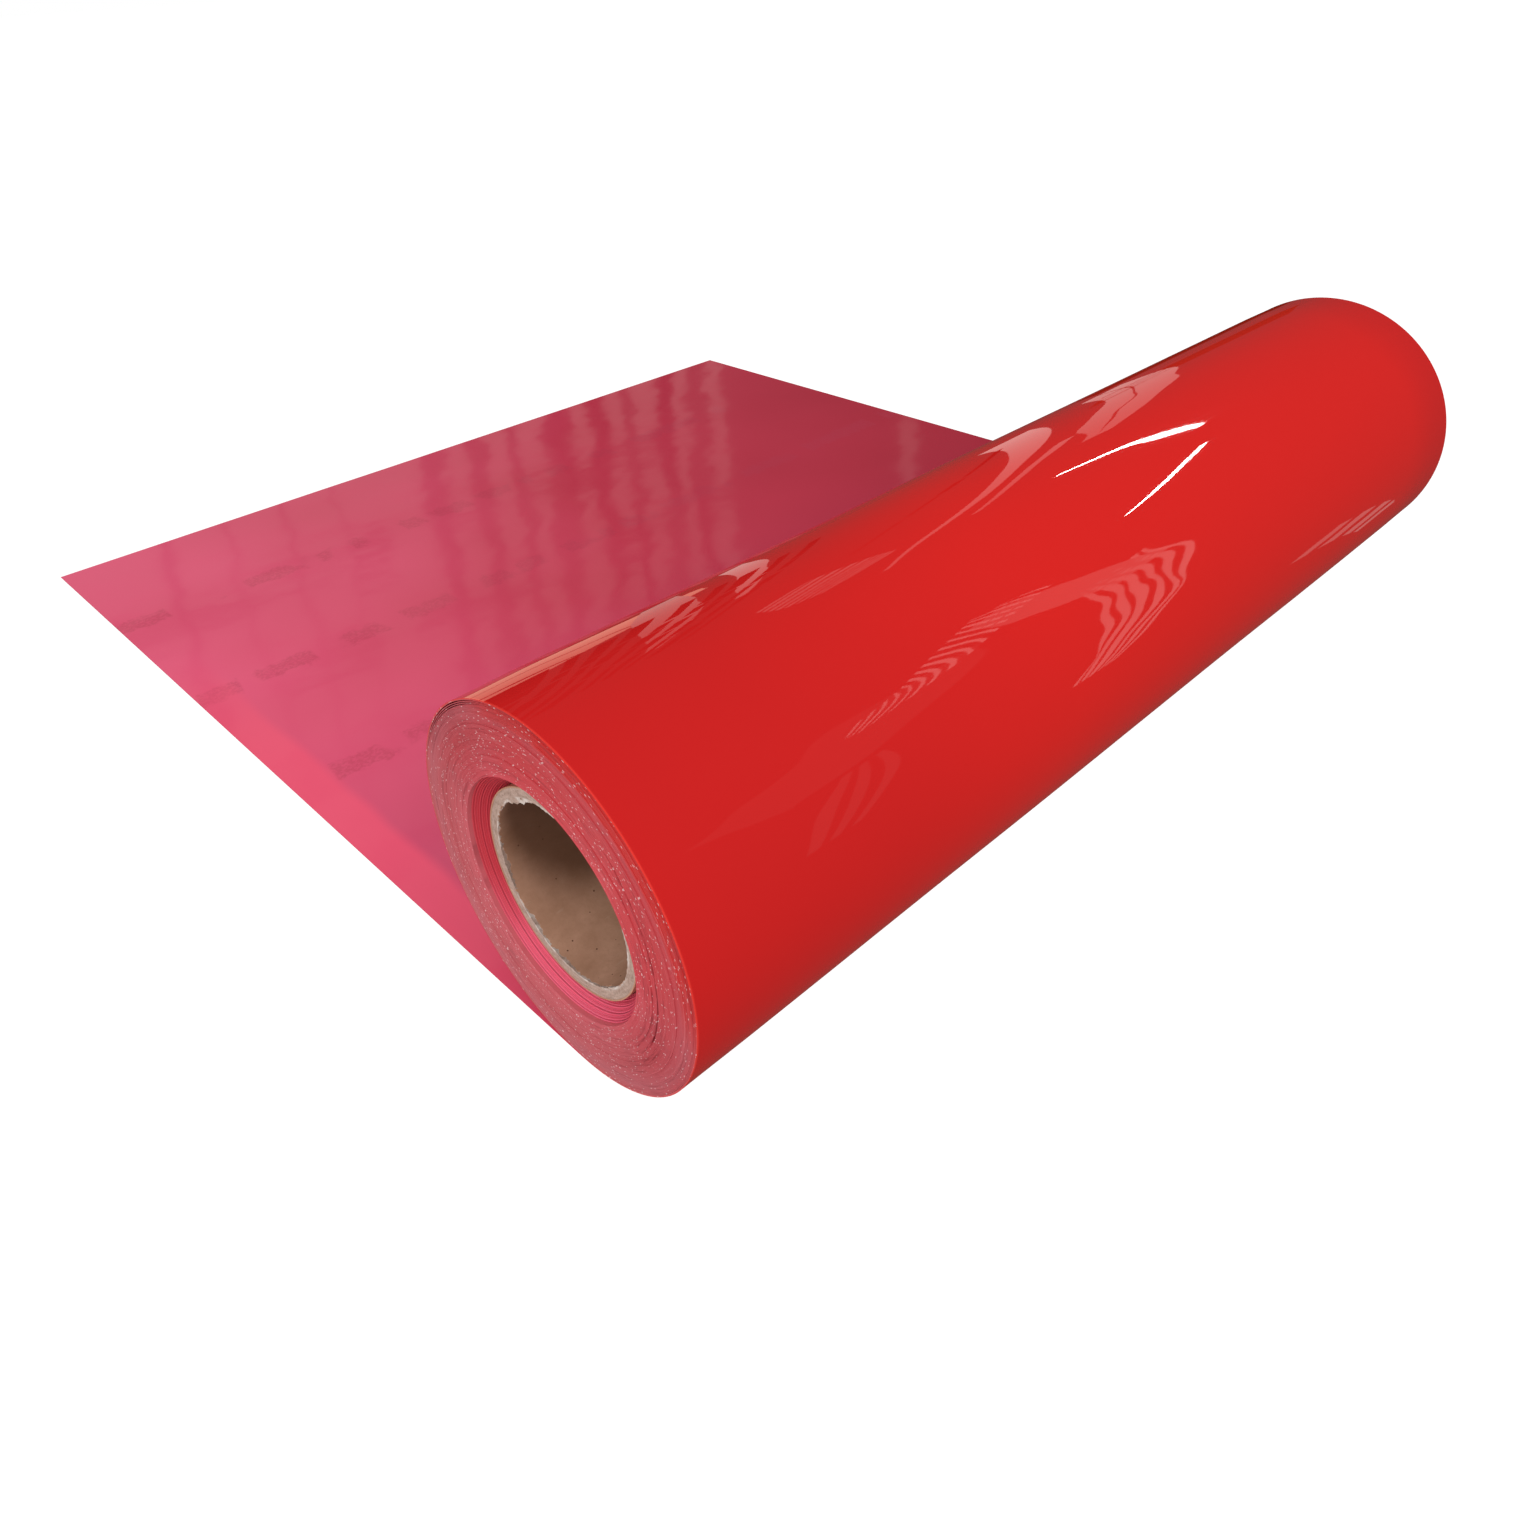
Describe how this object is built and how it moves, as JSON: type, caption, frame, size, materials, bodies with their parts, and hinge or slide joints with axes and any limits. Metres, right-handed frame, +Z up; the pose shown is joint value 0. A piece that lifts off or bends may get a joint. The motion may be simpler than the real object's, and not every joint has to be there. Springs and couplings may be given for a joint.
{
  "type": "roll of sign vinyl",
  "caption": "Roll of self-adhesive sign vinyl on a paper core, lying on its side with part of its web unrolled flat on the floor and its inner turns slipped endways.",
  "frame": {"origin": "middle of the whole object's footprint, on the floor it rests on", "axes": "+X along the roll's axis from its near end to its far end, +Y the way the web is unrolled, +Z up"},
  "size_m": [0.6238, 0.6942, 0.1586],
  "materials": {
    "core_kraft": "matte kraft paper",
    "core_chipboard": "cut grey chipboard, fibrous",
    "start_tape": "packing tape",
    "slipped_turns": "satin slit edges of the web",
    "roll_end": "satin slit edges of the web, fine rings",
    "vinyl_film": "high gloss red film",
    "release_liner": "glossy translucent liner over red film"
  },
  "bodies": {
    "laid_web": {"laid_vinyl": "vinyl_film", "laid_liner": "release_liner"},
    "outer_turn": {"outer_turn_vinyl": "vinyl_film", "outer_turn_liner": "release_liner"},
    "wound_roll": {"wound_band_1": "roll_end", "wound_band_2": "roll_end", "wound_band_3": "roll_end", "wound_band_4": "roll_end", "wound_band_5": "roll_end", "wound_band_6": "roll_end", "loose_turn_1": "roll_end", "loose_turn_2": "roll_end"},
    "core": {"core_inner_ply": "core_kraft", "core_board": "core_chipboard", "core_outer_ply": "core_kraft", "start_tape_1": "start_tape", "start_tape_2": "start_tape", "start_tape_3": "start_tape"},
    "step_01": {"inner_turn_01": "slipped_turns"},
    "step_02": {"inner_turn_02": "slipped_turns"},
    "step_03": {"inner_turn_03": "slipped_turns"},
    "step_04": {"inner_turn_04": "slipped_turns"},
    "step_05": {"inner_turn_05": "slipped_turns"},
    "step_06": {"inner_turn_06": "slipped_turns"},
    "step_07": {"inner_turn_07": "slipped_turns"},
    "step_08": {"inner_turn_08": "slipped_turns"},
    "step_09": {"inner_turn_09": "slipped_turns"},
    "step_10": {"inner_turn_10": "slipped_turns"},
    "step_11": {"inner_turn_11": "slipped_turns"},
    "step_12": {"inner_turn_12": "slipped_turns"}
  },
  "joints": [
    {"name": "roll_travel", "type": "slide", "parent": "laid_web", "child": "outer_turn", "axis": [0, 1, 0], "range_m": [0, 0.525], "deforming": ["laid_vinyl", "laid_liner"]},
    {"name": "roll_spin", "type": "hinge", "parent": "outer_turn", "child": "wound_roll", "pos_m": [0, -0.26785, 0.0793], "axis": [1, 0, 0], "range_deg": [-379.8, 0]},
    {"name": "core_slide", "type": "slide", "parent": "wound_roll", "child": "core", "axis": [1, 0, 0], "range_m": [-0.0084, 0.0066]},
    {"name": "inner_turn_01_slide", "type": "slide", "parent": "wound_roll", "child": "step_01", "axis": [1, 0, 0], "range_m": [-0.00845, 0.00665]},
    {"name": "inner_turn_02_slide", "type": "slide", "parent": "wound_roll", "child": "step_02", "axis": [1, 0, 0], "range_m": [-0.00775, 0.0061]},
    {"name": "inner_turn_03_slide", "type": "slide", "parent": "wound_roll", "child": "step_03", "axis": [1, 0, 0], "range_m": [-0.00705, 0.00555]},
    {"name": "inner_turn_04_slide", "type": "slide", "parent": "wound_roll", "child": "step_04", "axis": [1, 0, 0], "range_m": [-0.00635, 0.005]},
    {"name": "inner_turn_05_slide", "type": "slide", "parent": "wound_roll", "child": "step_05", "axis": [1, 0, 0], "range_m": [-0.00565, 0.00445]},
    {"name": "inner_turn_06_slide", "type": "slide", "parent": "wound_roll", "child": "step_06", "axis": [1, 0, 0], "range_m": [-0.00495, 0.0039]},
    {"name": "inner_turn_07_slide", "type": "slide", "parent": "wound_roll", "child": "step_07", "axis": [1, 0, 0], "range_m": [-0.00425, 0.00335]},
    {"name": "inner_turn_08_slide", "type": "slide", "parent": "wound_roll", "child": "step_08", "axis": [1, 0, 0], "range_m": [-0.00355, 0.0028]},
    {"name": "inner_turn_09_slide", "type": "slide", "parent": "wound_roll", "child": "step_09", "axis": [1, 0, 0], "range_m": [-0.00285, 0.00225]},
    {"name": "inner_turn_10_slide", "type": "slide", "parent": "wound_roll", "child": "step_10", "axis": [1, 0, 0], "range_m": [-0.00215, 0.0017]},
    {"name": "inner_turn_11_slide", "type": "slide", "parent": "wound_roll", "child": "step_11", "axis": [1, 0, 0], "range_m": [-0.00145, 0.00115]},
    {"name": "inner_turn_12_slide", "type": "slide", "parent": "wound_roll", "child": "step_12", "axis": [1, 0, 0], "range_m": [-0.00075, 0.0006]}
  ],
  "couplings": [
    {"joint": "roll_spin", "follows": "roll_travel", "rad_per_m": -12.61},
    {"joint": "inner_turn_01_slide", "follows": "core_slide", "ratio": 1},
    {"joint": "inner_turn_02_slide", "follows": "core_slide", "ratio": 0.91667},
    {"joint": "inner_turn_03_slide", "follows": "core_slide", "ratio": 0.83333},
    {"joint": "inner_turn_04_slide", "follows": "core_slide", "ratio": 0.75},
    {"joint": "inner_turn_05_slide", "follows": "core_slide", "ratio": 0.66667},
    {"joint": "inner_turn_06_slide", "follows": "core_slide", "ratio": 0.58333},
    {"joint": "inner_turn_07_slide", "follows": "core_slide", "ratio": 0.5},
    {"joint": "inner_turn_08_slide", "follows": "core_slide", "ratio": 0.41667},
    {"joint": "inner_turn_09_slide", "follows": "core_slide", "ratio": 0.33333},
    {"joint": "inner_turn_10_slide", "follows": "core_slide", "ratio": 0.25},
    {"joint": "inner_turn_11_slide", "follows": "core_slide", "ratio": 0.16667},
    {"joint": "inner_turn_12_slide", "follows": "core_slide", "ratio": 0.083333}
  ]
}
